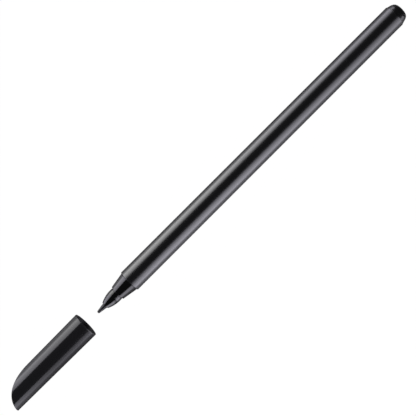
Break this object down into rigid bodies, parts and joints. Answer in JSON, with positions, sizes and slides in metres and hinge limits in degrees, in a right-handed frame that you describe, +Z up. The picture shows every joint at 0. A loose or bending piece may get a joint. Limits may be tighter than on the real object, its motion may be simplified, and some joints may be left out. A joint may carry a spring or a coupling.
{
  "type": "felt-tip pen",
  "caption": "Slim round felt-tip pen with a fine fibre nib in a stepped nose, and a tapered cap with a slanted curved end, shown pulled off ahead of the nib.",
  "frame": {"origin": "under the middle of the whole length, cap and pen together, on the surface that the cap rests on", "axes": "+X along the pen from the cap's closed tip to the barrel's rear end, +Y towards the curved side of the cap's end, +Z up"},
  "size_m": [0.1965, 0.01, 0.0099],
  "materials": {
    "barrel_plastic": "moulded black polypropylene, satin",
    "plug_plastic": "moulded black polypropylene, satin",
    "section_plastic": "moulded black polypropylene, glossy",
    "cap_plastic": "moulded black polypropylene, glossy",
    "liner_plastic": "moulded black polyethylene, soft",
    "nib_fibre": "bonded fibre soaked with black ink",
    "reservoir_fibre": "polyester fibre bundle soaked with black ink",
    "reservoir_film": "thin clear film"
  },
  "bodies": {
    "pen": {"barrel": "barrel_plastic", "end_plug": "plug_plastic", "front_section": "section_plastic", "nib": "nib_fibre", "ink_reservoir": "reservoir_fibre", "reservoir_wrap": "reservoir_film"},
    "cap": {"cap_shell": "cap_plastic", "cap_liner": "liner_plastic"}
  },
  "joints": [
    {"name": "cap_slide", "type": "slide", "parent": "pen", "child": "cap", "axis": [1, 0, 0], "range_m": [0, 0.03647]}
  ]
}
